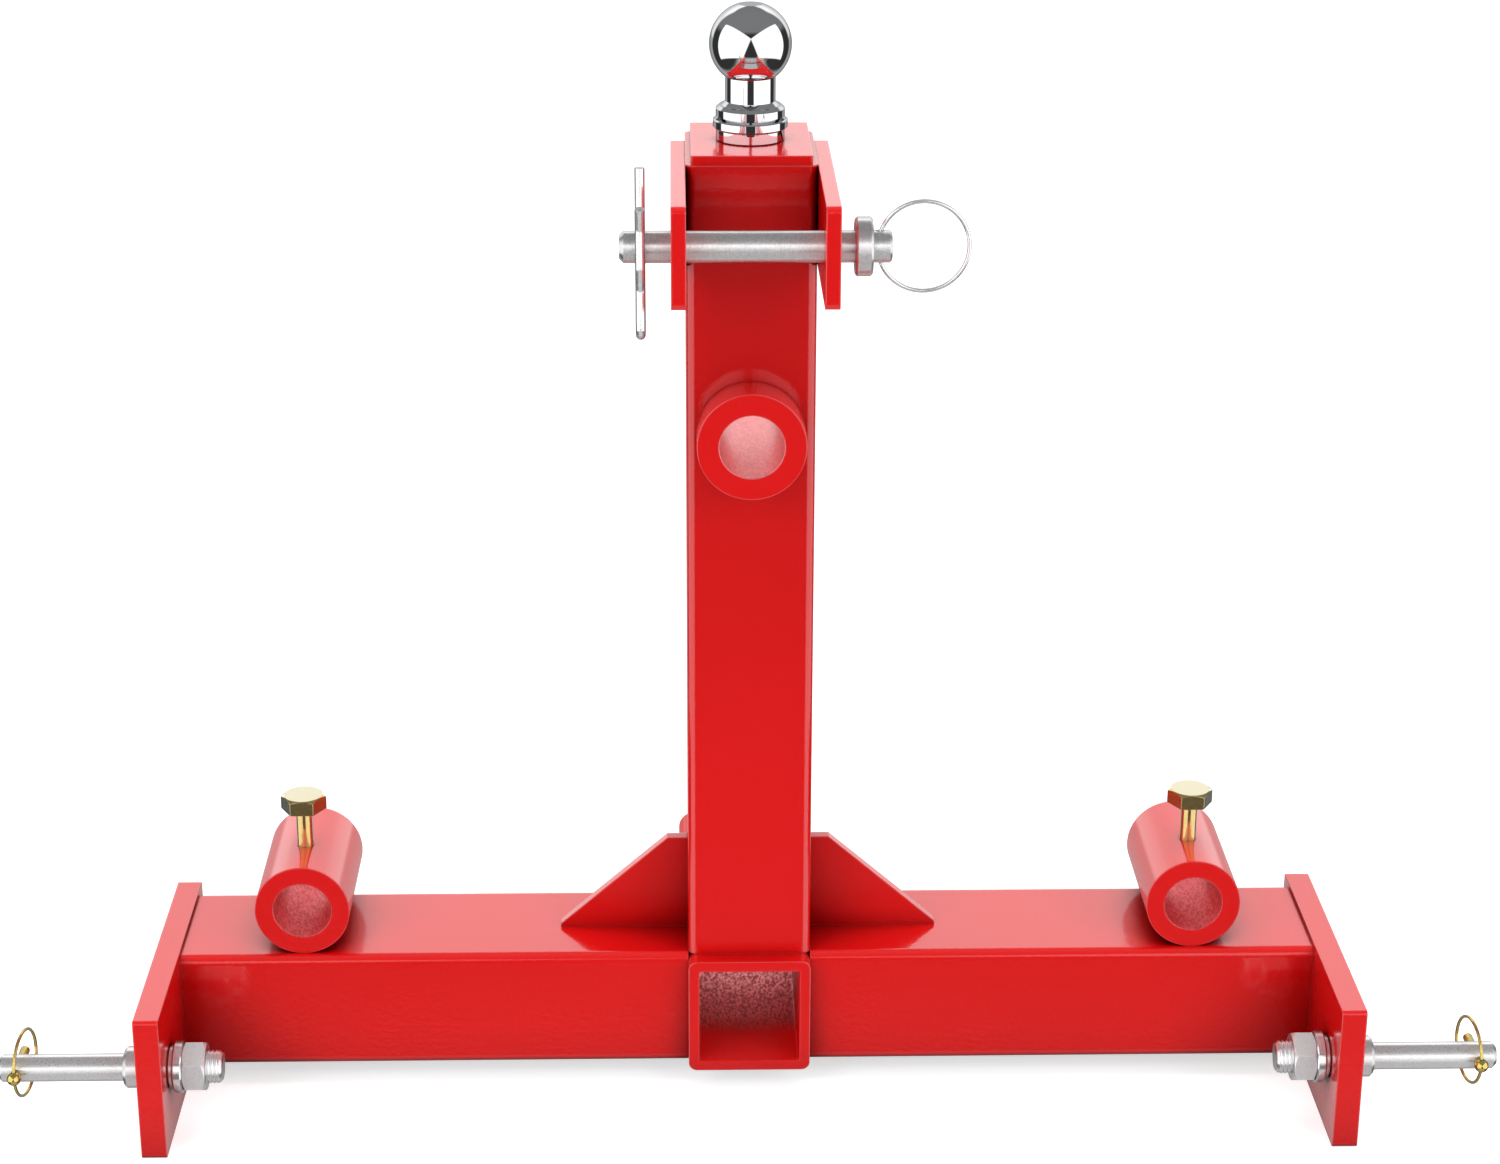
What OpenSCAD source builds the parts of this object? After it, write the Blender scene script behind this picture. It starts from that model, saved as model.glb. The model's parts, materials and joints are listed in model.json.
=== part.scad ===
// Three point receiver hitch: a welded A-frame drawbar with a top-link clevis,
// two lift pins, a square receiver socket and a small trailer ball.
// X runs across the tractor, Y from the tractor side to the load side, Z up.
// It stands on the lower edges of its two end plates.

/* [Frame tubes] */
// Width of the mast, and height of the crossbar and the receiver
tube_w = 63.5; // [58:0.5:68]
// Depth of the mast and the crossbar
tube_d = 76.2; // [70:0.1:84]
// Wall of the mast and the crossbar
tube_wall = 5; // [4:0.5:6]
// Outer corner radius of the tubes
tube_r = 4.5; // [3.5:0.5:6]
// Length of the mast above the receiver
mast_l = 418.5; // [380:0.5:460]
// How far the mast and the crossbar stand behind the receiver's front face
set_back = 9.6; // [4:0.1:16]

/* [Receiver] */
// Length of the receiver tube
receiver_l = 175; // [150:1:200]
// Wall of the receiver tube
receiver_wall = 5.6; // [5:0.1:6.5]
// Thickness of the collar welded round the rear mouth
collar_t = 4.5; // [3:0.5:6]
// Length of the collar
collar_l = 25; // [18:1:35]
// Outer corner radius of the collar
collar_r = 9; // [6:0.5:10]
// Diameter of the hitch pin hole through the receiver's side walls
hitch_hole_d = 16.3; // [14:0.1:17]
// Distance from the rear mouth to the centre of the hitch pin hole
hitch_hole_in = 46; // [40:1:55]

/* [End plates] */
// Distance between the outer faces of the two end plates
span = 618; // [560:1:700]
// Thickness of the end plates
plate_t = 12.7; // [10:0.1:15]
// Length of the end plates along Y
plate_d = 159; // [150:1:175]
// Height of the end plates
plate_h = 78; // [77:1:90]
// How far the end plates reach in front of the receiver's front face
plate_out = 63.7; // [55:0.1:66]
// How far the end plates reach below the crossbar
plate_drop = 12; // [8:1:13]
// Corner radius of the end plates
plate_r = 2; // [1:0.5:4]

/* [Gussets] */
// Reach of a gusset along the crossbar
gusset_l = 67.4; // [50:0.1:80]
// Height of a gusset up the mast
gusset_h = 51.7; // [40:0.1:60]
// Length of the flat edge at the top of a gusset
gusset_top = 10.7; // [6:0.1:16]
// Thickness of the gussets
gusset_t = 6; // [5:0.5:8]
// Distance from the crossbar's front face to the gusset's front face
gusset_in = 32.3; // [26:0.1:40]

/* [Centre boss] */
// Height of the boss's centre above the receiver
boss_up = 285; // [250:1:320]
// Width of mast left on each side of the boss
boss_side = 4.95; // [2:0.05:6]
// Thickness of the boss's wall
boss_wall = 10.9; // [8:0.1:13]
// How far the boss stands out in front of the mast
boss_out = 21.7; // [15:0.1:30]
// How far the boss stands out behind the mast
boss_back = 3; // [1:0.5:8]

/* [Side sleeves] */
// Distance from the middle of the hitch to the centre of each sleeve
sleeve_x = 232; // [210:1:245]
// Outer diameter of the sleeves
sleeve_d = 49; // [46:0.5:54]
// Bore of the sleeves
sleeve_bore = 30; // [28:0.5:34]
// Length of the sleeves
sleeve_l = 75; // [66:1:80]
// Distance from the crossbar's front face to the sleeve's front face
sleeve_in = 4.7; // [2:0.1:8]
// Diameter of the set screw's shank
screw_d = 8.6; // [7:0.1:10]
// Distance from the sleeve's front face to the set screw
screw_in = 28.5; // [22:0.5:34]
// Length of shank that shows above the sleeve
screw_out = 21; // [12:0.5:26]
// Size of the set screw's head across its flats
screw_af = 20.6; // [17:0.1:24]
// Height of the set screw's head
screw_head_h = 8; // [6:0.5:10]

/* [Top clevis] */
// Thickness of the clevis ears
ear_t = 7; // [6:0.5:10]
// Height of the clevis ears
ear_h = 48.5; // [42:0.5:56]
// Length of the clevis ears along Y
ear_d = 139.8; // [130:0.1:150]
// How far the ears reach in front of the receiver's front face
ear_out = 69.5; // [67:0.5:80]
// How far the ears' upper edges lie below the top of the mast
ear_drop = 0.8; // [0:0.1:4]
// Diameter of the top pin
pin_d = 15; // [13:0.5:19]
// Distance from the ears' front edges to the top pin
pin_in = 24.3; // [20:0.1:28]
// Length of the pin from the middle of the hitch to its plain end
pin_plain = 62.5; // [60:0.5:70]
// Distance from the middle of the hitch to the pin's collar
pin_shoulder = 46.2; // [42:0.1:50]
// Length of the pin's collar
pin_collar_l = 8.1; // [6:0.1:10]
// Diameter of the pin's collar
pin_collar_d = 27.6; // [24:0.1:32]
// Length of the pin's tail beyond the collar
pin_tail_l = 9; // [8:0.5:12]
// Distance from the pin's collar to the pull ring's hole
ring_in = 3.2; // [3:0.1:4.5]
// Radius of the pull ring, to the middle of its wire
ring_r = 21.2; // [17:0.1:24]
// Diameter of the pull ring's wire
ring_wire = 2; // [1.5:0.1:2.4]
// Distance from the middle of the hitch to the retaining clip
clip_x = 52.8; // [50:0.1:55]
// Diameter of the clip's wire
clip_wire = 4.7; // [3:0.1:5]
// Height of the clip's straight leg above the pin's centre
clip_up = 37.1; // [30:0.1:42]
// Depth of the clip's loop below the pin's centre, to the loop's middle
clip_down = 35.2; // [30:0.1:42]

/* [Lift pins] */
// Diameter of the lift pins
lift_d = 14; // [12:0.5:15]
// Distance from the end plate to the lift pin's tip
lift_l = 74; // [66:0.5:80]
// Diameter of the lift pin's flange
lift_flange_d = 21.2; // [19:0.1:26]
// Thickness of the lift pin's flange
lift_flange_t = 10; // [6:0.5:12]
// Distance from the end plate's front edge to the lift pin
lift_in = 26.7; // [22:0.1:32]
// Height of the lift pins above the end plates' lower edges
lift_z = 38; // [34:1:44]
// Diameter of the lift pin's threaded stud
stud_d = 16; // [14.5:0.1:18]
// Length of stud that shows beyond the nut
stud_out = 8; // [4:0.5:10]
// Size of the lift pin's nut across its flats
nut_af = 24; // [22:0.5:27]
// Height of the lift pin's nut
nut_h = 11.7; // [10:0.1:14]
// Outer diameter of the plain washer
washer_d = 22; // [20:0.5:30]
// Thickness of the plain washer
washer_t = 2.6; // [1.5:0.1:4]
// Outer diameter of the split lock washer
lock_d = 26.4; // [24:0.1:29]
// Thickness of the split lock washer
lock_t = 4.6; // [3:0.1:6]

/* [Linchpins] */
// Diameter of the linchpin
linch_d = 5; // [4:0.1:6]
// Distance from the lift pin's tip to the linchpin
linch_in = 9.5; // [8:0.5:12]
// Distance from the lift pin's axis to the middle of the linchpin's head
linch_front = 11; // [10.5:0.1:13]
// Distance from the lift pin's axis to the linchpin's far end
linch_back = 20; // [16:0.5:21]
// Radius of the linchpin's head
linch_head_r = 3.6; // [3.2:0.1:4.5]
// Radius of the linchpin's ring, to the middle of its wire
linch_ring_r = 17; // [16.5:0.1:20]
// Diameter of the linchpin ring's wire
linch_wire = 1.7; // [1.2:0.1:2]
// Angle at which the linchpin's ring leans towards the end plate
linch_lean = 8; // [0:1:10]

/* [Trailer ball] */
// How far the cap plate's sides stand in from the mast's sides
cap_inset_x = 2.65; // [1:0.05:4]
// How far the cap plate's front and back stand in from the mast's
cap_inset_y = 1.3; // [1:0.1:4]
// Thickness of the cap plate
cap_t = 4.5; // [3:0.5:8]
// Diameter of the ball
ball_d = 40; // [36:0.5:50]
// Height of the ball's centre above the cap plate
ball_up = 46.5; // [44:0.5:56]
// Diameter of the ball's neck
neck_d = 24.5; // [20:0.5:28]
// Diameter of the flange under the ball
flange_d = 33.6; // [30:0.1:38]
// Height of the flange
flange_h = 6.5; // [5:0.5:9]
// Diameter of the ball's shank
shank_d = 19; // [16:0.5:22]
// Outer diameter of the ball's washer
ball_washer_d = 36.4; // [34:0.1:42]
// Thickness of the ball's washer
ball_washer_t = 4.5; // [3:0.5:6]
// Outer diameter of the ball's lock washer
ball_lock_d = 33.4; // [30:0.1:36]
// Thickness of the ball's lock washer
ball_lock_t = 6; // [4:0.5:7]
// Size of the ball's nut across its flats
ball_nut_af = 28.6; // [26:0.1:32]
// Height of the ball's nut
ball_nut_h = 16; // [12:0.5:20]

/* [Fits] */
// Radial clearance of a pin that turns in its hole
turn_gap = 0.08; // [0.02:0.01:0.1]
// Radial clearance of a bolt or shank in its hole
bolt_gap = 0.25; // [0.1:0.05:0.5]
// Radial play of the linchpin's ring in the linchpin's head
linch_play = 0.5; // [0.5:0.05:0.8]

/* [Hidden] */
$fn = 64;
red = "#dc2022";
zinc = "#b9bcc0";
gold = "#c9a24a";
bright = "#d8dadd";
half_w = tube_w / 2;
// How far a cutter reaches past the faces that it cuts
past = 1;
// Bevel of the washers' outer edges
ring_bevel = 0.6;
// Y of the receiver's front face: the hitch is centred between its ears' fronts and the mouth
front_y = (ear_out - receiver_l) / 2;
rear_y = front_y + receiver_l;
bar_y = front_y + set_back;
bar_z = plate_drop;
bar_top = bar_z + tube_w;
plate_x = span / 2 - plate_t;
mast_top = bar_top + mast_l;
mast_mid_y = bar_y + tube_d / 2;
boss_z = bar_top + boss_up;
boss_d = tube_w - 2 * boss_side;
boss_bore = boss_d - 2 * boss_wall;
hitch_hole_y = rear_y - hitch_hole_in;
sleeve_y = bar_y + sleeve_in;
sleeve_z = bar_top + sleeve_d / 2;
screw_y = sleeve_y + screw_in;
screw_z = bar_top + sleeve_d + screw_out;
// The set screw's end stops just short of the bore's crown
screw_end_gap = 0.6;
screw_l = screw_out + (sleeve_d - sleeve_bore) / 2 - screw_end_gap;
screw_point = 1.2;
ear_y = front_y - ear_out;
ear_top = mast_top - ear_drop;
ear_r = 3.5;
pin_y = ear_y + pin_in;
pin_z = ear_top - ear_h / 2;
pin_r = pin_d / 2;
pin_tip_chamfer = 2;
pin_end = pin_shoulder + pin_collar_l + pin_tail_l;
pin_edge = 1;
// The pull ring bows inside its hole, so the hole is wider than the wire by that bow
ring_bow = ring_r - sqrt(ring_r * ring_r - pin_r * pin_r);
ring_play = 0.2;
ring_hole_r = (ring_wire + ring_bow) / 2 + ring_play;
ring_hole_x = pin_shoulder + pin_collar_l + ring_in;
clip_r = clip_wire / 2;
clip_gap = 0.4;
// The clip's outer leg passes the pin at this distance from the straight leg
clip_leg = pin_r + clip_r + clip_gap;
lift_y = front_y - plate_out + lift_in;
lift_r = lift_d / 2;
stud_r = stud_d / 2;
lift_tip_chamfer = 2;
lift_tip_x = span / 2 + lift_l;
nut_x = plate_x - washer_t - lock_t - nut_h;
lock_gap = 3;
lock_turn = 60;
linch_x = lift_tip_x - linch_in;
linch_pivot_y = lift_y - linch_front;
linch_hole_r = linch_wire / 2 + linch_play;
cap_w = tube_w - 2 * cap_inset_x;
cap_d = tube_d - 2 * cap_inset_y;
cap_r = 1;
cap_top = mast_top + cap_t;
ball_base = cap_top + ball_lock_t + ball_washer_t;
ball_z = cap_top + ball_up;
ball_flange_r = 1.5;
ball_flat = 1;
ball_lock_turn = -25;
ball_foot = 2;
shank_tail = 4;
shank_below = cap_t + ball_nut_h + shank_tail;

// Outline of a box with round corners, centred, made of straight and round pieces
module round_box(a, b, r) {
    square([a - 2 * r, b], center = true);
    square([a, b - 2 * r], center = true);
    for (sx = [-1, 1], sy = [-1, 1])
        translate([sx * (a / 2 - r), sy * (b / 2 - r)]) circle(r);
}

// Outline of a tube's wall
module tube_wall_outline(a, b, r, wall) {
    inner_r = 1;
    difference() {
        round_box(a, b, r);
        round_box(a - 2 * wall, b - 2 * wall, max(r - wall, inner_r));
    }
}

// Extrudes an outline drawn in X and Z along Y
module along_y(y0, l) {
    translate([0, y0 + l, 0]) rotate([90, 0, 0]) linear_extrude(l) children();
}

// Extrudes an outline drawn in Y and Z along X
module along_x(x0, l) {
    translate([x0, 0, 0]) rotate([90, 0, 90]) linear_extrude(l) children();
}

// A straight round bar along X, from one coordinate to another
module bar_x(x0, x1, r) {
    translate([x0, 0, 0]) rotate([0, 90, 0]) cylinder(h = x1 - x0, r = r);
}

// The same along Y
module bar_y_dir(y0, y1, r) {
    translate([0, y0, 0]) rotate([-90, 0, 0]) cylinder(h = y1 - y0, r = r);
}

// A hexagon head or nut standing on Z = 0, with its corners turned down at the ends marked
module hex_block(af, h, top = true, bottom = false) {
    steep = 0.7;
    rim = 0.4;
    corner_r = af / sqrt(3);
    cut = corner_r - af / 2 + rim;
    cut_h = cut * steep;
    lower_r = bottom ? corner_r - cut : corner_r;
    upper_r = top ? corner_r - cut : corner_r;
    intersection() {
        cylinder(h = h, r = corner_r, $fn = 6);
        rotate_extrude() polygon([
            [0, 0], [lower_r, 0], [corner_r, cut_h],
            [corner_r, h - cut_h], [upper_r, h], [0, h]
        ]);
    }
}

// A flat ring standing on Z = 0
module ring(outer, inner, h) {
    outer_r = outer / 2;
    rotate_extrude() polygon([
        [inner / 2, 0], [outer_r - ring_bevel, 0], [outer_r, ring_bevel],
        [outer_r, h - ring_bevel], [outer_r - ring_bevel, h], [inner / 2, h]
    ]);
}

// A spring washer: a ring with a slanting cut through one side
module split_ring(outer, inner, h, gap) {
    slant = 28;
    difference() {
        ring(outer, inner, h);
        translate([outer / 2, 0, h / 2]) rotate([slant, 0, 0])
            cube([outer, gap / 2, 3 * h], center = true);
    }
}

// A closed ring of round wire, lying in the XZ plane round the origin
module wire_ring(r, wire) {
    rotate([90, 0, 0]) rotate_extrude($fn = 96) translate([r, 0]) circle(d = wire, $fn = 24);
}

function unit(v) = v / norm(v);

// Signed angle through which a path turns at its point i
function turn_at(path, i) =
    let (d0 = unit(path[i] - path[i - 1]), d1 = unit(path[i + 1] - path[i]))
    atan2(d0[0] * d1[1] - d0[1] * d1[0], d0 * d1);

// Length that the bend at point i takes from the straights on both its sides
function bend_cut(path, bends, i) =
    (i == 0 || i == len(path) - 1) ? 0 : bends[i] * tan(abs(turn_at(path, i)) / 2);

// Points along the bend at point i, or the point itself at the wire's two ends
function bend_points(path, bends, i) =
    (i == 0 || i == len(path) - 1) ? [path[i]] :
    let (
        d = unit(path[i] - path[i - 1]),
        turn = turn_at(path, i),
        side = sign(turn),
        from = path[i] - d * bend_cut(path, bends, i),
        centre = from + side * bends[i] * [-d[1], d[0]],
        steps = ceil(abs(turn) / 12)
    )
    [for (k = [0:steps]) let (a = turn * k / steps, v = from - centre)
        centre + [v[0] * cos(a) - v[1] * sin(a), v[0] * sin(a) + v[1] * cos(a)]];

// Round wire bent in the XY plane, swept along straights with an arc at each corner
module bent_wire(path, bends, r) {
    sides = 16;
    line = [for (i = [0:len(path) - 1]) each bend_points(path, bends, i)];
    last = len(line) - 1;
    rings = [for (i = [0:last])
        let (d = unit(line[min(i + 1, last)] - line[max(i - 1, 0)]))
        for (k = [0:sides - 1])
            let (a = 360 * k / sides)
            [line[i][0] - d[1] * r * cos(a), line[i][1] + d[0] * r * cos(a), r * sin(a)]];
    walls = [for (i = [0:last - 1], k = [0:sides - 1])
        let (n = (k + 1) % sides)
        [i * sides + k, i * sides + n, (i + 1) * sides + n, (i + 1) * sides + k]];
    start_cap = [for (k = [sides - 1:-1:0]) k];
    end_cap = [for (k = [0:sides - 1]) last * sides + k];
    polyhedron(rings, concat(walls, [start_cap, end_cap]));
}

module mast_tube() {
    color(red) difference() {
        translate([0, mast_mid_y, bar_top]) linear_extrude(mast_l)
            tube_wall_outline(tube_w, tube_d, tube_r, tube_wall);
        translate([0, 0, boss_z]) bar_y_dir(bar_y - past, bar_y + tube_d + past, boss_d / 2);
    }
}

module cap_plate() {
    color(red) difference() {
        translate([0, mast_mid_y, mast_top]) linear_extrude(cap_t) round_box(cap_w, cap_d, cap_r);
        translate([0, mast_mid_y, mast_top - past])
            cylinder(h = cap_t + 2 * past, r = shank_d / 2 + bolt_gap);
    }
}

module receiver_tube() {
    color(red) difference() {
        along_y(front_y, receiver_l)
            translate([0, bar_z + half_w]) tube_wall_outline(tube_w, tube_w, tube_r, receiver_wall);
        translate([0, hitch_hole_y, bar_z + half_w]) bar_x(-tube_w, tube_w, hitch_hole_d / 2);
    }
}

module receiver_collar() {
    outer = tube_w + 2 * collar_t;
    color(red) difference() {
        along_y(rear_y - collar_l, collar_l)
            translate([0, bar_z + half_w]) round_box(outer, outer, collar_r);
        along_y(rear_y - collar_l - past, collar_l + 2 * past)
            translate([0, bar_z + half_w]) round_box(tube_w, tube_w, tube_r);
    }
}

// Right-hand half of the crossbar, from the receiver's side to the end plate
module crossbar() {
    color(red) along_x(half_w, plate_x - half_w)
        translate([bar_y + tube_d / 2, bar_z + half_w]) tube_wall_outline(tube_d, tube_w, tube_r, tube_wall);
}

module end_plate() {
    color(red) difference() {
        along_x(plate_x, plate_t)
            translate([front_y - plate_out + plate_d / 2, plate_h / 2]) round_box(plate_d, plate_h, plate_r);
        translate([0, lift_y, lift_z]) bar_x(plate_x - past, plate_x + plate_t + past, stud_r + bolt_gap);
    }
}

module gusset() {
    toe = 2;
    color(red) along_y(bar_y + gusset_in, gusset_t) translate([half_w, bar_top])
        polygon([[0, 0], [gusset_l, 0], [gusset_l, toe], [gusset_top, gusset_h], [0, gusset_h]]);
}

module centre_boss() {
    color(red) translate([0, 0, boss_z]) difference() {
        bar_y_dir(bar_y - boss_out, bar_y + tube_d + boss_back, boss_d / 2);
        bar_y_dir(bar_y - boss_out - past, bar_y + tube_d + boss_back + past, boss_bore / 2);
    }
}

module side_sleeve() {
    color(red) translate([sleeve_x, 0, sleeve_z]) difference() {
        bar_y_dir(sleeve_y, sleeve_y + sleeve_l, sleeve_d / 2);
        bar_y_dir(sleeve_y - past, sleeve_y + sleeve_l + past, sleeve_bore / 2);
        translate([0, screw_y, 0]) cylinder(h = sleeve_d, r = screw_d / 2 + turn_gap);
    }
}

module clevis_ear() {
    color(red) difference() {
        along_x(half_w, ear_t)
            translate([ear_y + ear_d / 2, ear_top - ear_h / 2]) round_box(ear_d, ear_h, ear_r);
        translate([0, pin_y, pin_z]) bar_x(half_w - past, half_w + ear_t + past, pin_r + turn_gap);
    }
}

module set_screw() {
    color(gold) translate([sleeve_x, screw_y, screw_z]) {
        hex_block(screw_af, screw_head_h);
        translate([0, 0, screw_point - screw_l]) cylinder(h = screw_l - screw_point + past, d = screw_d);
        translate([0, 0, -screw_l]) cylinder(h = screw_point, r1 = screw_d / 2 - screw_point, r2 = screw_d / 2);
    }
}

module top_pin() {
    collar_x = pin_shoulder + pin_collar_l;
    collar_r_outer = pin_collar_d / 2;
    color(zinc) translate([0, pin_y, pin_z]) difference() {
        union() {
            bar_x(pin_tip_chamfer - pin_plain, pin_end - pin_edge, pin_r);
            translate([-pin_plain, 0, 0]) rotate([0, 90, 0])
                cylinder(h = pin_tip_chamfer, r1 = pin_r - pin_tip_chamfer, r2 = pin_r);
            translate([pin_end - pin_edge, 0, 0]) rotate([0, 90, 0])
                cylinder(h = pin_edge, r1 = pin_r, r2 = pin_r - pin_edge);
            bar_x(pin_shoulder + pin_edge, collar_x - pin_edge, collar_r_outer);
            translate([pin_shoulder, 0, 0]) rotate([0, 90, 0])
                cylinder(h = pin_edge, r1 = collar_r_outer - pin_edge, r2 = collar_r_outer);
            translate([collar_x - pin_edge, 0, 0]) rotate([0, 90, 0])
                cylinder(h = pin_edge, r1 = collar_r_outer, r2 = collar_r_outer - pin_edge);
        }
        translate([ring_hole_x, 0, -pin_d]) cylinder(h = 2 * pin_d, r = ring_hole_r, $fn = 32);
        translate([-clip_x, 0, -pin_d]) cylinder(h = 2 * pin_d, r = clip_r + turn_gap, $fn = 32);
    }
}

module pull_ring() {
    color(bright) translate([ring_hole_x - ring_bow / 2 + ring_r, pin_y, pin_z]) wire_ring(ring_r, ring_wire);
}

// Retaining clip: a straight leg through the pin, a loop below and a leg that bows round the pin
module r_clip() {
    // The loop's two bends stay a little apart
    loop_part = 0.48;
    loop_bend = clip_leg * loop_part;
    bow_bend = 6;
    loop_low = -clip_down - clip_leg / 2;
    loop_rise = 4;
    waist_part = 0.62;
    waist_low = 12;
    above_pin = 3;
    flare = 3;
    flare_h = 13.5;
    path = [
        [0, clip_up], [0, loop_low], [-clip_leg, loop_low],
        [-clip_leg, loop_rise - clip_down], [-clip_leg * waist_part, -pin_r - waist_low],
        [-clip_leg, -pin_r], [-clip_leg, pin_r + above_pin], [-clip_leg - flare, pin_r + flare_h]
    ];
    bends = [0, loop_bend, loop_bend, bow_bend, bow_bend, bow_bend, bow_bend, 0];
    color(bright) translate([-clip_x, pin_y, pin_z]) rotate([90, 0, 90]) bent_wire(path, bends, clip_r);
}

module lift_pin() {
    flange_x = span / 2;
    stud_x = nut_x - stud_out;
    flange_r = lift_flange_d / 2;
    bevel = 1.5;
    edge = 1;
    color(zinc) translate([0, lift_y, lift_z]) difference() {
        rotate([0, 90, 0]) rotate_extrude() polygon([
            [0, stud_x], [stud_r - bevel, stud_x], [stud_r, stud_x + bevel], [stud_r, flange_x],
            [flange_r - edge, flange_x], [flange_r, flange_x + edge],
            [flange_r, flange_x + lift_flange_t - bevel], [flange_r - bevel, flange_x + lift_flange_t],
            [lift_r, flange_x + lift_flange_t], [lift_r, lift_tip_x - lift_tip_chamfer],
            [lift_r - lift_tip_chamfer, lift_tip_x], [0, lift_tip_x]
        ]);
        translate([linch_x, 0, 0]) bar_y_dir(-lift_d, lift_d, linch_d / 2 + turn_gap);
    }
}

module lift_nut() {
    color(bright) translate([nut_x, lift_y, lift_z]) rotate([0, 90, 0]) difference() {
        hex_block(nut_af, nut_h, true, true);
        translate([0, 0, -past]) cylinder(h = nut_h + 2 * past, r = stud_r);
    }
}

module lock_washer() {
    color(bright) translate([nut_x + nut_h, lift_y, lift_z]) rotate([0, 90, 0])
        rotate([0, 0, lock_turn]) split_ring(lock_d, stud_d + 2 * bolt_gap, lock_t, lock_gap);
}

module flat_washer() {
    color(bright) translate([nut_x + nut_h + lock_t, lift_y, lift_z]) rotate([0, 90, 0])
        ring(washer_d, stud_d + 2 * bolt_gap, washer_t);
}

// Linchpin across the lift pin's end, with a drilled head for its ring
module linchpin() {
    point = 1.5;
    color(gold) translate([linch_x, lift_y, lift_z]) difference() {
        union() {
            bar_y_dir(-linch_front, linch_back - point, linch_d / 2);
            translate([0, linch_back - point, 0]) rotate([-90, 0, 0])
                cylinder(h = point, r1 = linch_d / 2, r2 = linch_d / 2 - point);
            translate([0, -linch_front, 0]) sphere(linch_head_r);
        }
        translate([0, -linch_front, -linch_head_r - past])
            cylinder(h = 2 * (linch_head_r + past), r = linch_hole_r, $fn = 32);
    }
}

module linch_ring() {
    color(gold) translate([linch_x, linch_pivot_y, lift_z]) rotate([0, 0, 90 + linch_lean])
        translate([linch_ring_r, 0, 0]) wire_ring(linch_ring_r, linch_wire);
}

// Turned ball with its neck, flange and shank
module trailer_ball() {
    ball_r = ball_d / 2;
    neck_r = neck_d / 2;
    rise = ball_z - ball_base;
    rim_r = flange_d / 2;
    color(bright) translate([0, mast_mid_y, ball_base]) {
        difference() {
            translate([0, 0, rise]) sphere(ball_r, $fn = 96);
            translate([0, 0, rise + ball_r - ball_flat]) cylinder(h = ball_flat + past, r = ball_r);
        }
        cylinder(h = rise - ball_r / 2, r = neck_r);
        rotate_extrude() polygon([
            [0, 0], [rim_r - ball_flange_r, 0], [rim_r, ball_flange_r],
            [rim_r, flange_h - ball_flange_r], [rim_r - ball_flange_r, flange_h],
            [neck_r + ball_foot, flange_h], [neck_r, flange_h + ball_foot], [0, flange_h + ball_foot]
        ]);
        translate([0, 0, cap_top - ball_base - shank_below])
            cylinder(h = ball_base - cap_top + shank_below + past, d = shank_d);
    }
}

module ball_washer() {
    color(bright) translate([0, mast_mid_y, cap_top + ball_lock_t])
        ring(ball_washer_d, shank_d + 2 * bolt_gap, ball_washer_t);
}

module ball_lock_washer() {
    color(bright) translate([0, mast_mid_y, cap_top]) rotate([0, 0, ball_lock_turn])
        split_ring(ball_lock_d, shank_d + 2 * bolt_gap, ball_lock_t, lock_gap);
}

module ball_nut() {
    color(zinc) translate([0, mast_mid_y, mast_top - ball_nut_h]) difference() {
        hex_block(ball_nut_af, ball_nut_h, false, true);
        translate([0, 0, -past]) cylinder(h = ball_nut_h + 2 * past, d = shank_d);
    }
}

mast_tube();
cap_plate();
receiver_tube();
receiver_collar();
mirror([1, 0, 0]) crossbar();  // crossbar_left
crossbar();  // crossbar_right
mirror([1, 0, 0]) end_plate();  // end_plate_left
end_plate();  // end_plate_right
mirror([1, 0, 0]) gusset();  // gusset_left
gusset();  // gusset_right
centre_boss();
mirror([1, 0, 0]) side_sleeve();  // side_sleeve_left
side_sleeve();  // side_sleeve_right
mirror([1, 0, 0]) clevis_ear();  // clevis_ear_left
clevis_ear();  // clevis_ear_right
mirror([1, 0, 0]) set_screw();  // set_screw_left
set_screw();  // set_screw_right
top_pin();
pull_ring();
r_clip();
mirror([1, 0, 0]) lift_pin();  // lift_pin_left
lift_pin();  // lift_pin_right
mirror([1, 0, 0]) lift_nut();  // lift_nut_left
lift_nut();  // lift_nut_right
mirror([1, 0, 0]) lock_washer();  // lock_washer_left
lock_washer();  // lock_washer_right
mirror([1, 0, 0]) flat_washer();  // flat_washer_left
flat_washer();  // flat_washer_right
mirror([1, 0, 0]) linchpin();  // linchpin_left
linchpin();  // linchpin_right
mirror([1, 0, 0]) linch_ring();  // linch_ring_left
linch_ring();  // linch_ring_right
trailer_ball();
ball_washer();
ball_lock_washer();
ball_nut();
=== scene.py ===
import json
import math

import bpy
import numpy as np
from mathutils import Matrix, Vector


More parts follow.
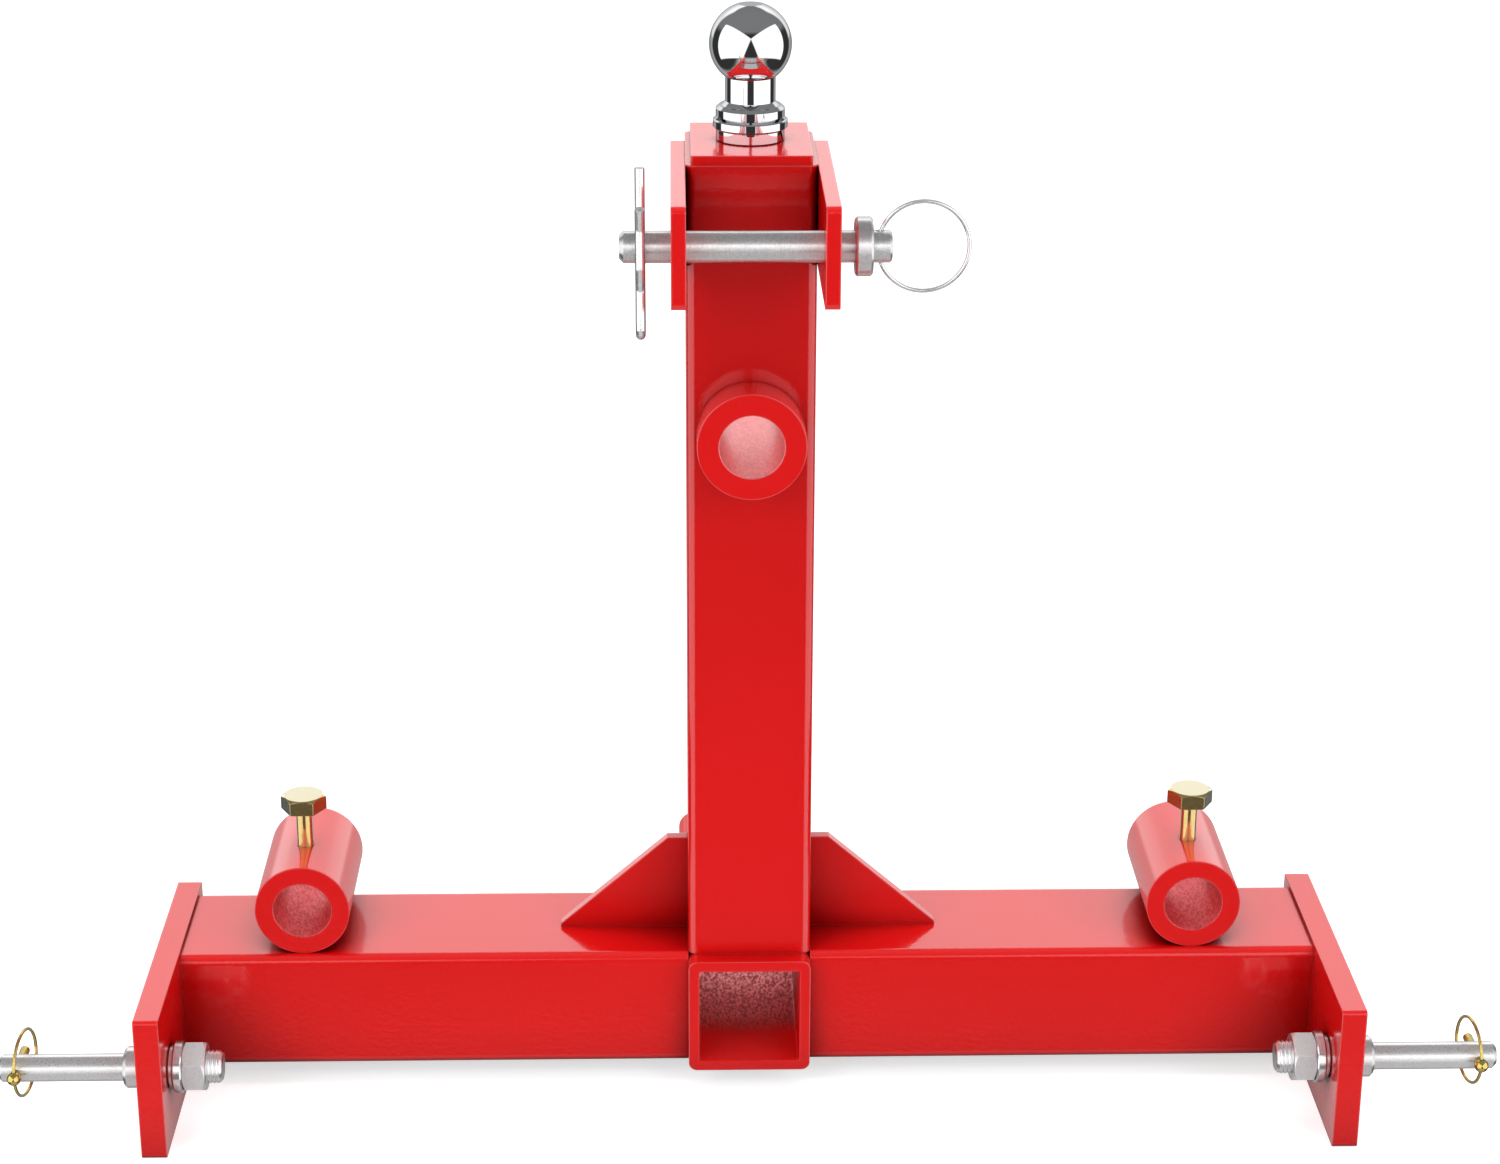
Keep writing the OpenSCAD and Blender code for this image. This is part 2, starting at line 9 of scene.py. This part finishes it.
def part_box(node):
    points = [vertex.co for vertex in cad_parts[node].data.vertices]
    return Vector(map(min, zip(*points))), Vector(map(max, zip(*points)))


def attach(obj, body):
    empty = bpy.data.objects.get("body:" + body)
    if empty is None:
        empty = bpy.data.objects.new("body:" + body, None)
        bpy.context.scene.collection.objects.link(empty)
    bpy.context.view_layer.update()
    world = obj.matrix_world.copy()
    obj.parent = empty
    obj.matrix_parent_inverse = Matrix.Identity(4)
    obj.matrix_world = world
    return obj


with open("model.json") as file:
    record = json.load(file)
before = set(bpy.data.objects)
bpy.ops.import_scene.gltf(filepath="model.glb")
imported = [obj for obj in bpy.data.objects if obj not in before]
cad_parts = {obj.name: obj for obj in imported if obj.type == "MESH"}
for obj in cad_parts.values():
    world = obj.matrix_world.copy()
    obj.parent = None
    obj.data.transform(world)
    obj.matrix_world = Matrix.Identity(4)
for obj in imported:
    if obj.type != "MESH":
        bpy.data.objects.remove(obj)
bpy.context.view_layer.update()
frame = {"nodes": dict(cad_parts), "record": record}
scene = bpy.context.scene
scene.view_settings.view_transform = "Standard"
print("hitch: frame loaded, %d nodes" % len(frame["nodes"]))


# Camera

cameraSet = {
    "place": (-0.0368, -1.4968, 0.8340),  # metres, on the tractor side and above
    "yaw": 1.439, "pitch": 20.756, "roll": 0.2006,  # degrees
    "lens": 74.89, "sensor": 36.0,  # millimetres
    "farClip": 60,  # metres
}


def makeCamera(s):
    # Level and looking along Y, then rolled, tipped down by the pitch and turned right by the yaw
    data = bpy.data.cameras.new("viewCamera")
    data.sensor_fit = "HORIZONTAL"
    data.sensor_width = s["sensor"]
    data.lens = s["lens"]
    data.clip_end = s["farClip"]
    cam = bpy.data.objects.new("viewCamera", data)
    scene.collection.objects.link(cam)
    turn = (Matrix.Rotation(math.radians(-s["yaw"]), 4, "Z")
            @ Matrix.Rotation(math.radians(90 - s["pitch"]), 4, "X")
            @ Matrix.Rotation(math.radians(s["roll"]), 4, "Z"))
    cam.matrix_world = Matrix.Translation(Vector(s["place"])) @ turn
    scene.camera = cam


makeCamera(cameraSet)
print("hitch: camera set")


# Node helpers

class Graph:
    # Adds shader nodes to one tree and wires them up
    def __init__(self, tree):
        self.tree = tree
        tree.nodes.clear()

    def add(self, kind, settings=None, **inputs):
        # One node with its settings and its inputs
        n = self.tree.nodes.new("ShaderNode" + kind)
        for key, value in (settings or {}).items():
            setattr(n, key, value)
        for key, value in inputs.items():
            self.put(n, key.replace("_", " "), value)
        return n

    def put(self, n, key, value):
        # A link or a plain value on one input: i0 is the first input, any other key is a name
        numbered = key[0] == "i" and key[1:].isdigit()
        socket = n.inputs[int(key[1:])] if numbered else n.inputs[key]
        if isinstance(value, bpy.types.NodeSocket):
            self.tree.links.new(value, socket)
        else:
            socket.default_value = value

    def math(self, op, a, b=0.0, c=None):
        # One sum on links or plain numbers; MULTIPLY_ADD is a * b + c
        n = self.add("Math", {"operation": op}, i0=a, i1=b)
        if c is not None:
            self.put(n, "i2", c)
        return n.outputs[0]

    def times(self, a, b):
        return self.math("MULTIPLY", a, b)

    def between(self, share, a, b):
        # a where the share is 0 and b where it is 1: share * (b - a) + a
        return self.math("MULTIPLY_ADD", share, b - a, a)

    def parts(self, vector):
        # The vector's x, y and z
        return self.add("SeparateXYZ", None, Vector=vector).outputs

    def noise(self, coord, scale, detail=2.0, rough=0.5):
        # Soft noise from 0 to 1, with about as many lumps as the scale in each unit of length
        n = self.add("TexNoise", None, Vector=coord, Scale=scale, Detail=detail, Roughness=rough)
        return n.outputs[0]

    def smooth(self, value, start, end, low=0.0, high=1.0):
        # A smooth step from low to high, while the value goes from start to end
        n = self.add("MapRange", {"interpolation_type": "SMOOTHSTEP"}, Value=value)
        for key, limit in zip(("From Min", "From Max", "To Min", "To Max"), (start, end, low, high)):
            self.put(n, key, limit)
        return n.outputs[0]

    def ramp(self, value, stops):
        # Straight lines between the stops, each a place and a grey level or a colour
        n = self.add("ValToRGB", None, Fac=value)
        e = n.color_ramp.elements
        while len(e) < len(stops):
            e.new(0.5)
        for el, (at, tone) in zip(e, stops):
            el.position = at
            el.color = tone if np.ndim(tone) else (tone, tone, tone, 1)
        return n.outputs[0]

    def mix(self, kind, fac, a, b):
        # Colour a, with that share of colour b laid over it
        n = self.add("Mix", {"data_type": "RGBA", "blend_type": kind})
        self.put(n, "i0", fac)
        self.put(n, "i6", a)
        self.put(n, "i7", b)
        return n.outputs[2]

    def shade(self, tone, level):
        # A colour times a grey level or another colour
        return self.mix("MULTIPLY", 1.0, tone, level)

    def facing(self):
        # 0 where the surface faces the viewer and 1 where it turns away
        return self.add("LayerWeight", None, Blend=0.5).outputs[1]


def newMaterial(name):
    # An empty material and the graph that fills it
    m = bpy.data.materials.new(name)
    m.use_nodes = True
    return m, Graph(m.node_tree)


def finishMaterial(g, shader):
    g.add("OutputMaterial", None, Surface=shader)


# Studio: world, floor and lamps

white = (1.0, 1.0, 1.0, 1)

studio = {
    "fill": 0.64,         # even light that reaches matt surfaces
    "backWall": 1.32,     # white wall behind the hitch, seen in grazing reflections
    "backBand": 1.18,     # dimmer band across that wall, between 17 and 27 degrees up
    "backFloor": 0.62,    # the floor behind, as reflections see it
    "sideBox": 1.40,      # the two soft boxes at the front corners
    "ceiling": 0.21,
    "wedge": 0.035,       # dark gap between the two front boxes
    "ground": 0.46,       # level straight below
    "floorSize": 9.0,     # metres
    "floorTone": 0.86,
    "floorLift": 0.60,    # glow that keeps the floor white outside the contact shadow
}

# The studio's edges, as planes through directions: the shares of x without its sign, y and z,
# the level at which their sum crosses the edge, and half of the edge's soft width
edges = {
    "boxInner": (0.768, 0.132, 0.319, 0.0, 0.03),
    "boxTop": (0.607, -0.303, -0.73, 0.0, 0.03),
    "boxBottom": (0, 0, 1, -0.50, 0.03),
    "boxBack": (0, -1, 0, -0.2, 0.03),
    "wallEnds": (-0.55, 1, 0, 0.28, 0.12),
    "wallTop": (0, 0, -1, -0.74, 0.05),
    "bandBottom": (0, 0, 1, 0.29, 0.03),
    "bandTop": (0, 0, -1, -0.452, 0.018),
    "horizon": (0, 0, -1, 0.03, 0.04),
    "ceilingEdge": (0, 0.25, 1, 0.42, 0.1),
    "groundEdge": (0, 0, -1, 0.5, 0.05),
    "groundEnds": (-1, 0, 0, -0.55, 0.1),
}


def makeWorld(s):
    # Reflections see the studio's walls, matt surfaces see an even fill, and the camera sees white
    world = bpy.data.worlds.new("studioWorld")
    scene.world = world
    world.use_nodes = True
    g = Graph(world.node_tree)
    x, y, z = g.parts(g.add("TexCoord").outputs["Generated"])
    ax = g.math("ABSOLUTE", x)

    def within(*names):
        # The product of soft steps, each 0 on one side of its edge and 1 on the other
        inside = None
        for name in names:
            shareX, shareY, shareZ, level, soft = edges[name]
            across = g.times(ax, shareX)
            across = g.math("ADD", across, g.times(y, shareY))
            across = g.math("ADD", across, g.times(z, shareZ))
            step = g.smooth(across, level - soft, level + soft)
            inside = g.times(inside, step) if inside else step
        return inside

    level = g.between(within("ceilingEdge"), s["wedge"], s["ceiling"])
    level = g.math("MULTIPLY_ADD", within("groundEdge", "groundEnds"), s["ground"], level)
    box = within("boxInner", "boxTop", "boxBottom", "boxBack")
    level = g.math("MAXIMUM", level, g.times(box, s["sideBox"]))
    wall = g.between(within("bandBottom", "bandTop"), s["backWall"], s["backBand"])
    wall = g.math("MULTIPLY_ADD", within("horizon"), s["backFloor"] - s["backWall"], wall)
    level = g.math("MAXIMUM", level, g.times(within("wallEnds", "wallTop"), wall))
    path = g.add("LightPath")
    mirror = g.math("MAXIMUM", path.outputs["Is Glossy Ray"], path.outputs["Is Transmission Ray"])
    shine = g.math("MULTIPLY_ADD", mirror, g.math("SUBTRACT", level, s["fill"]), s["fill"])
    seen = g.math("MULTIPLY_ADD", path.outputs["Is Camera Ray"], g.math("SUBTRACT", 1.0, shine), shine)
    light = g.add("Background", None, Color=white, Strength=seen)
    g.add("OutputWorld", None, Surface=light.outputs[0])


def makeFloor(s):
    # A matt square with a glow for the camera; reflections look through it, to the world's lower half
    r = s["floorSize"] / 2
    mesh = bpy.data.meshes.new("studioFloor")
    mesh.from_pydata([(-r, -r, 0), (r, -r, 0), (r, r, 0), (-r, r, 0)], [], [(0, 1, 2, 3)])
    floor = bpy.data.objects.new("studioFloor", mesh)
    scene.collection.objects.link(floor)
    m, g = newMaterial("paleFloor")
    path = g.add("LightPath")
    tone = s["floorTone"]
    glow = g.times(path.outputs["Is Camera Ray"], s["floorLift"])
    matt = g.add("BsdfDiffuse", None, Color=(tone, tone, tone, 1))
    lift = g.add("Emission", None, Color=white, Strength=glow)
    solid = g.add("AddShader", None, i0=matt.outputs[0], i1=lift.outputs[0])
    clear = g.add("BsdfTransparent")
    glossy = path.outputs["Is Glossy Ray"]
    seen = g.add("MixShader", None, i0=glossy, i1=solid.outputs[0], i2=clear.outputs[0])
    finishMaterial(g, seen.outputs[0])
    mesh.materials.append(m)


lamps = {  # metres and watts
    "overhead": {"place": (0.0, 0.25, 2.1), "aim": (0, 0, 0.2), "size": (2.4, 1.6), "power": 21},
    "keyLeft": {"place": (-1.7, -1.9, 1.5), "aim": (0, 0, 0.3), "size": (1.2, 1.6), "power": 21},
    "keyRight": {"place": (1.8, -1.8, 1.4), "aim": (0, 0, 0.3), "size": (1.2, 1.6), "power": 18},
}


def makeLamp(name, s):
    # A soft rectangle that looks from its place to its aim and isn't seen in reflections
    data = bpy.data.lights.new(name, "AREA")
    data.shape = "RECTANGLE"
    data.size, data.size_y = s["size"]
    data.energy = s["power"]
    lamp = bpy.data.objects.new(name, data)
    scene.collection.objects.link(lamp)
    lamp.location = s["place"]
    lamp.rotation_euler = (Vector(s["aim"]) - Vector(s["place"])).to_track_quat("-Z", "Y").to_euler()
    lamp.visible_glossy = False


makeWorld(studio)
makeFloor(studio)
for lampName, lampSet in lamps.items():
    makeLamp(lampName, lampSet)
print("hitch: studio lit")


# Red paint

paintSet = {
    "red": (0.715, 0.0025, 0.003, 1), "deepRed": (0.64, 0.0018, 0.002, 1),
    "cloudScale": 9, "cloudStops": [(0.35, 0.0), (0.75, 0.55)],
    "cornerReach": 0.075,  # how far into the open the painted shade of an inner corner reaches, in metres
    "cornerShadeStops": [(0.10, (0.04, 0.05, 0.05, 1)), (0.42, (0.60, 0.66, 0.66, 1)), (0.68, 1.0)],
    # The edge's tone and share: a painted highlight along the sharp edges
    "edge": 0.0011, "edgeHighlight": (0.90, 0.16, 0.16, 1), "edgeHighlightShare": 0.55,
    "peelScale": 420, "peelDepth": 0.00006,
    "rough": 0.16, "roughSpread": 0.10, "speckScale": 1500,
    "glossStops": [(0.66, 1.0), (0.84, 0.38), (1.0, 0.08)],  # by how far the surface turns away
    "cornerGloss": [(0.25, 0.10), (0.62, 1.0)],
    "specular": 0.35, "coatIor": 1.52, "coatRough": 0.05,
    "boreMargin": 0.0003, "boreRough": 0.10,
    "grainScale": 700, "grainDepth": 0.0003, "grainStretch": (1, 0.45, 1),
    "spotStops": [(0.40, 0.0), (0.60, 1.0)],
    "cleanRelief": 0.2,  # share of the relief that is left where a bore's paint is smooth
}

# The open tubes, whose holes run along Y. Their walls have spots of thin paint, pale in part as a painted
# reflection.
# The receiver's wall is plain red and nearly smooth near both mouths and spotted deeper in, a painted
# brightness inside the tube
sleeveBore = {"square": False, "radius": 0.015, "sheen": 0.6,
              "light": (0.95, 0.17, 0.18, 1), "dark": (0.70, 0.075, 0.085, 1)}
bores = {
    "receiver_tube": {"square": True, "radius": 0.02615, "sheen": 0.72,
                      "light": (1.0, 0.32, 0.33, 1), "dark": (0.34, 0.006, 0.008, 1),
                      "near": (0.72, 0.060, 0.065, 1),  # painted shade: in place of light towards the front mouth
                      "nearEnd": -0.035, "farStart": 0.010,  # metres from the middle
                      "plainRedReach": 0.048, "plainRedSoft": 0.012},
    "centre_boss": {"square": False, "radius": 0.0159, "sheen": 0.75,
                    "light": (1.0, 0.35, 0.35, 1), "dark": (0.92, 0.25, 0.26, 1)},
    "side_sleeve_left": sleeveBore,
    "side_sleeve_right": sleeveBore,
}
collarCoat = 0.25
mastHeightShade = {"start": 0.16, "end": 0.40, "low": 1.0, "high": 0.83}  # painted shade, darker higher up the mast: by height, in metres
edgeStops = [(0.80, 1.0), (0.97, 0.0)]


def edgeMask(g, rounded):
    # 1 on sharp edges, where the rounded normal leaves the face's own normal; it places the painted
    # highlights
    own = g.add("NewGeometry").outputs["Normal"]
    same = g.add("VectorMath", {"operation": "DOT_PRODUCT"}, i0=rounded.outputs[0], i1=own)
    return g.ramp(same.outputs["Value"], edgeStops)


def boreMask(g, s, coord, middle, bore):
    # 1 on the walls inside a hole along Y: the distance from its axis, or for a square hole the greater
    # of the distances across and up, is within its radius or half width and a margin
    x, y, z = g.parts(coord)
    across = g.math("ABSOLUTE", g.math("SUBTRACT", x, middle.x))
    up = g.math("ABSOLUTE", g.math("SUBTRACT", z, middle.z))
    if bore["square"]:
        away = g.math("MAXIMUM", across, up)
    else:
        away = g.math("SQRT", g.math("ADD", g.times(across, across), g.times(up, up)))
    return g.math("LESS_THAN", away, bore["radius"] + s["boreMargin"])


def paintTone(g, s, coord, openness, rounded, heightShade):
    # Two reds in soft clouds, times a painted shade in inner corners, mixed towards a painted highlight on
    # sharp edges, and times a painted shade that darkens with height
    clouds = g.ramp(g.noise(coord, s["cloudScale"], detail=3), s["cloudStops"])
    tone = g.mix("MIX", clouds, s["red"], s["deepRed"])
    # Painted shade: darker where the ambient occlusion finds an inner corner
    tone = g.shade(tone, g.ramp(openness, s["cornerShadeStops"]))
    # Painted highlight: paler along the sharp edges
    tone = g.mix("MIX", g.times(edgeMask(g, rounded), s["edgeHighlightShare"]), tone, s["edgeHighlight"])
    # Painted shade: darker with height
    if heightShade:
        tone = g.shade(tone, g.smooth(g.parts(coord)[2], **heightShade))
    return tone


def paintGloss(g, s, openness, coat):
    # The coat's strength, less where the surface turns away and less in inner corners
    gloss = g.times(g.ramp(g.facing(), s["glossStops"]), g.ramp(openness, s["cornerGloss"]))
    return g.times(gloss, coat)


def borePaint(g, s, coord, peel, node, bore):
    # Inside a hole, light and dark spots of thin paint with a grain in place of the peel, the pale spots in
    # part a painted reflection; with a plain red reach, red and nearly smooth beyond that distance from the
    # middle, and a painted shade towards the front mouth
    low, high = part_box(node)
    middle = (low + high) / 2
    inside = boreMask(g, s, coord, middle, bore)
    drawn = g.add("Mapping", None, Vector=coord, Scale=s["grainStretch"]).outputs[0]
    grain = g.times(g.noise(drawn, s["grainScale"], detail=3, rough=0.65), s["grainDepth"])
    relief = g.math("MULTIPLY_ADD", inside, g.math("SUBTRACT", grain, peel), peel)
    light = bore["light"]
    deep = 1.0
    if "plainRedReach" in bore:
        y = g.parts(coord)[1]
        away = g.math("ABSOLUTE", g.math("SUBTRACT", y, middle.y))
        # Painted brightness: the pale spotted skin only deeper in, plain red near the mouths
        deep = g.smooth(away, bore["plainRedReach"] + bore["plainRedSoft"], bore["plainRedReach"] - bore["plainRedSoft"])
        relief = g.times(relief, g.between(deep, s["cleanRelief"], 1.0))
        # Painted shade: darker towards the front mouth
        far = g.smooth(y, middle.y + bore["nearEnd"], middle.y + bore["farStart"])
        light = g.mix("MIX", far, bore["near"], light)
    spots = g.ramp(g.noise(drawn, s["grainScale"], detail=2, rough=0.7), s["spotStops"])
    # Spots of thin paint; their pale tone is in part a painted reflection
    skin = g.mix("MIX", deep, s["red"], g.mix("MIX", spots, bore["dark"], light))
    sheen = g.times(g.times(inside, bore["sheen"]), deep)
    return inside, relief, skin, sheen


def makeRedPaint(name, s, node=None, bore=None, coat=1.0, heightShade=None):
    # Gloss powder coat with a fine peel, and with the walls of one node's hole in thin rough paint
    m, g = newMaterial(name)
    coord = g.add("TexCoord").outputs["Object"]
    openness = g.add("AmbientOcclusion", {"samples": 8}, Distance=s["cornerReach"]).outputs[1]
    rounded = g.add("Bevel", {"samples": 6}, Radius=s["edge"])
    tone = paintTone(g, s, coord, openness, rounded, heightShade)
    relief = g.times(g.noise(coord, s["peelScale"], detail=2, rough=0.6), s["peelDepth"])
    specks = g.noise(coord, s["speckScale"], detail=1)
    rough = g.math("MULTIPLY_ADD", specks, s["roughSpread"], s["rough"])
    gloss = paintGloss(g, s, openness, coat)
    coatShare = gloss
    sheen = 0.0
    if bore:
        inside, relief, skin, sheen = borePaint(g, s, coord, relief, node, bore)
        tone = g.mix("MIX", inside, tone, skin)
        rough = g.math("MULTIPLY_ADD", inside, s["boreRough"], rough)
        coatShare = g.times(gloss, g.math("SUBTRACT", 1.0, inside))
    bump = g.add("Bump", None, Strength=1.0, Distance=1.0, Height=relief, Normal=rounded.outputs[0])
    p = g.add("BsdfPrincipled", None, Roughness=rough, Metallic=sheen, Normal=bump.outputs[0])
    g.put(p, "Base Color", tone)
    g.put(p, "Specular IOR Level", g.times(gloss, s["specular"]))
    g.put(p, "Coat Weight", coatShare)
    g.put(p, "Coat IOR", s["coatIor"])
    g.put(p, "Coat Roughness", s["coatRough"])
    g.put(p, "Coat Normal", bump.outputs[0])
    finishMaterial(g, p.outputs[0])
    return m


redPaint = makeRedPaint("redPowderCoat", paintSet)
redOwn = {name: makeRedPaint("redBore_" + name, paintSet, name, bore) for name, bore in bores.items()}
redOwn["receiver_collar"] = makeRedPaint("redCollar", paintSet, coat=collarCoat)
redOwn["mast_tube"] = makeRedPaint("redMast", paintSet, heightShade=mastHeightShade)
print("hitch: red paint mixed")


# Plated steel and chrome

platingSet = {
    # The edge's tone: a painted highlight along the sharp edges
    "light": white, "edgeHighlight": white,
    "spread": 0.0,   # how far reflections spread along the piece, across its turning lines
    "veil": None,    # painted pale sheen, the tone seen at a low angle
    "rim": 0.50,     # how far the surface turns away before its painted dark outline starts
    "rimTone": 0.10,
    "acrossLines": 2600, "alongLines": 60, "lineShare": 0.25, "cloudScale": 900,
    "grainStops": [(0.3, 0.0), (0.72, 1.0)], "roughSpread": 0.16,
    "edge": 0.0004, "bumpStrength": 0.5, "bumpDepth": 0.00001,
    "veilStops": [(0.50, 0.0), (0.64, 1.0)],
}

platings = {
    "satinZinc": {"axis": "X", "metallic": 0.95, "rough": 0.33, "spread": 0.85,
                  "dark": (0.72, 0.72, 0.73, 1)},
    "liftPinZinc": {"axis": "X", "metallic": 0.86, "rough": 0.30, "spread": 0.85,
                    "dark": (0.80, 0.80, 0.81, 1)},
    "nutZinc": {"axis": "X", "metallic": 0.60, "rough": 0.22, "dark": (0.80, 0.81, 0.83, 1)},
    "brightZinc": {"axis": "Z", "metallic": 0.80, "rough": 0.16, "rim": 0.30,
                   "dark": (0.82, 0.83, 0.86, 1)},
    "yellowZinc": {"axis": "Z", "metallic": 0.92, "rough": 0.16, "rim": 0.68,
                   "light": (0.80, 0.62, 0.27, 1), "dark": (0.62, 0.45, 0.16, 1),
                   "edgeHighlight": (1.0, 0.92, 0.62, 1), "veil": (0.78, 0.79, 0.66, 1)},
    "ringZinc": {"axis": "Z", "metallic": 0.92, "rough": 0.16, "rim": 0.30,
                 "light": (0.86, 0.70, 0.22, 1), "dark": (0.62, 0.46, 0.12, 1),
                 "edgeHighlight": (1.0, 0.92, 0.60, 1)},
}

chromeSet = {
    "dark": (0.80, 0.81, 0.83, 1), "light": (0.88, 0.89, 0.90, 1),
    "hazeScale": 70, "rough": 0.015, "roughSpread": 0.03,
    "rim": 0.90, "rimTone": 0.30, "specularTint": (0.35, 0.35, 0.36, 1),
}

rimHalfWay = 0.6  # share of a rim's darkening that is done half way to the outline


def outlined(g, s, tint):
    # The tint times a level that falls from 1 to the rim's tone as the surface turns away: a painted dark
    # outline
    half = 1 - rimHalfWay * (1 - s["rimTone"])
    stops = [(s["rim"], 1.0), ((s["rim"] + 1) / 2, half), (1.0, s["rimTone"])]
    return g.shade(tint, g.ramp(g.facing(), stops))


def makePlating(name, s):
    # Fine turning lines across one axis over a fine grain, in tone, roughness and height
    m, g = newMaterial(name)
    coord = g.add("TexCoord").outputs["Object"]
    scale = [s["acrossLines"] if axis == s["axis"] else s["alongLines"] for axis in "XYZ"]
    drawn = g.add("Mapping", None, Vector=coord, Scale=scale).outputs[0]
    lines = g.noise(drawn, 1.0, detail=3, rough=0.6)
    clouds = g.noise(coord, s["cloudScale"], detail=2, rough=0.7)
    grain = g.math("MULTIPLY_ADD", lines, s["lineShare"], g.times(clouds, 1 - s["lineShare"]))
    tint = g.mix("MIX", g.ramp(grain, s["grainStops"]), s["dark"], s["light"])
    rough = g.math("MULTIPLY_ADD", clouds, s["roughSpread"], s["rough"] - s["roughSpread"] / 2)
    rounded = g.add("Bevel", {"samples": 4}, Radius=s["edge"])
    bump = g.add("Bump", None, Strength=s["bumpStrength"], Distance=s["bumpDepth"], Height=lines,
                 Normal=rounded.outputs[0])
    p = g.add("BsdfPrincipled", None, Metallic=s["metallic"], Roughness=rough, Normal=bump.outputs[0])
    # Painted sheen: paler where the surface is seen at a low angle
    if s["veil"]:
        tint = g.mix("MIX", g.ramp(g.facing(), s["veilStops"]), tint, s["veil"])
    # Painted highlight: the edge's tone along the sharp edges
    tint = g.mix("MIX", edgeMask(g, rounded), tint, s["edgeHighlight"])
    # Painted shade: the tint darkens towards the outline
    g.put(p, "Base Color", outlined(g, s, tint))
    if s["spread"]:
        # The turning lines run round the piece, so its tangents do too
        tangent = g.add("Tangent", {"direction_type": "RADIAL", "axis": s["axis"]})
        g.put(p, "Anisotropic", s["spread"])
        g.put(p, "Anisotropic Rotation", 0.25)  # a quarter turn
        g.put(p, "Tangent", tangent.outputs[0])
    finishMaterial(g, p.outputs[0])
    return m


def makeChrome(s):
    # A mirror with a faint haze in tone and roughness, and a painted dark outline
    m, g = newMaterial("polishedChrome")
    coord = g.add("TexCoord").outputs["Object"]
    haze = g.noise(coord, s["hazeScale"], detail=3, rough=0.6)
    tint = g.mix("MIX", haze, s["dark"], s["light"])
    rough = g.math("MULTIPLY_ADD", haze, s["roughSpread"], s["rough"])
    p = g.add("BsdfPrincipled", None, Metallic=1.0, Roughness=rough)
    g.put(p, "Base Color", outlined(g, s, tint))
    g.put(p, "Specular Tint", s["specularTint"])
    finishMaterial(g, p.outputs[0])
    return m


plated = {name: makePlating(name, {**platingSet, **row}) for name, row in platings.items()}
chrome = makeChrome(chromeSet)
print("hitch: platings mixed")


# Finishes on the nodes

slotFinish = {
    "red_paint": redPaint,
    "satin_zinc": plated["satinZinc"],
    "bright_zinc": plated["brightZinc"],
    "yellow_zinc": plated["yellowZinc"],
    "ball_chrome": chrome,
}
familyFinish = {  # by the start of a node's name
    "lift_pin": plated["liftPinZinc"],
    "lift_nut": plated["nutZinc"],
    "linch": plated["ringZinc"],
    **redOwn,
}


def finishOf(node, slotName):
    # The finish of the node's family, or else of its material slot
    for start, finish in familyFinish.items():
        if node.startswith(start):
            return finish
    return slotFinish[slotName]


slotOf = {row["node"]: row["material_slot"] for row in frame["record"]["subparts"]}
for nodeName, nodeObject in frame["nodes"].items():
    nodeObject.data.materials.clear()
    nodeObject.data.materials.append(finishOf(nodeName, slotOf[nodeName]))
print("hitch: finishes put on the nodes")


# Threads on the lift pins' studs

threadSet = {  # metres
    "root": 0.00802, "crest": 0.00848, "core": 0.0066, "pitch": 0.0020,
    "steep": 1.5,  # slope of the flanks, a plain triangle wave's being 1; more leaves flat crests and roots
    "bevel": 0.0012,  # how far the stud's bevelled end cuts the first turn down
    "coreStart": 0.0003,  # the inner skin's distance from the tip
    "sunk": 0.0004,  # how far the thread runs into the nut
    "along": 84, "round": 72,  # rows and columns of the grid
}


def gridMesh(name, points):
    # Quads over a grid of points whose rows and columns both close on themselves
    rows, cols = points.shape[:2]
    i = np.arange(rows)[:, None]
    j = np.arange(cols)[None, :]
    nextI = (i + 1) % rows
    nextJ = (j + 1) % cols
    corners = [i * cols + j, i * cols + nextJ, nextI * cols + nextJ, nextI * cols + j]
    quads = np.stack(corners, axis=-1).reshape(-1, 4)
    mesh = bpy.data.meshes.new(name)
    mesh.from_pydata(points.reshape(-1, 3).tolist(), [], quads.tolist())
    mesh.shade_smooth()
    obj = bpy.data.objects.new(name, mesh)
    scene.collection.objects.link(obj)
    return obj


def makeThread(name, s, side, hand):
    # Radius = root + (crest - root) * a triangle wave of (distance along the stud / pitch - hand * turn),
    # limited by the stud's bevel. The last two rows go back along the core, so that the skin is closed.
    # Both threads are right-handed; the left stud points the other way, so hand is -1 there
    nutLow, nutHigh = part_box("lift_nut_" + side)
    axis = (nutLow + nutHigh) / 2
    tip = min(abs(corner.x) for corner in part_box("lift_pin_" + side))
    nutFace = min(abs(nutLow.x), abs(nutHigh.x)) + s["sunk"]
    along = np.linspace(tip, nutFace, s["along"])
    turn = np.linspace(0, 2 * math.pi, s["round"], endpoint=False)
    phase = (along[:, None] / s["pitch"] - hand * turn[None, :] / (2 * math.pi)) % 1.0
    wave = 1 - np.abs(2 * phase - 1)
    ridge = np.clip(s["steep"] * wave - (s["steep"] - 1) / 2, 0, 1)
    outer = s["root"] + (s["crest"] - s["root"]) * ridge
    outer = np.minimum(outer, s["root"] - s["bevel"] + (along[:, None] - tip))
    radius = np.vstack([outer, np.full((2, s["round"]), s["core"])])
    station = np.concatenate([along, [nutFace, tip + s["coreStart"]]])[:, None]
    x = hand * np.broadcast_to(station, radius.shape)
    y = axis.y + radius * np.cos(turn)[None, :]
    z = axis.z + radius * np.sin(turn)[None, :]
    points = np.stack([x, y, z], axis=-1)
    if hand < 0:
        points = points[:, ::-1]  # keeps the faces pointing outwards
    obj = gridMesh(name, points)
    obj.data.materials.append(plated["liftPinZinc"])
    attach(obj, "frame")


makeThread("threadLeft", threadSet, "left", -1)
makeThread("threadRight", threadSet, "right", 1)
print("hitch: threads added")
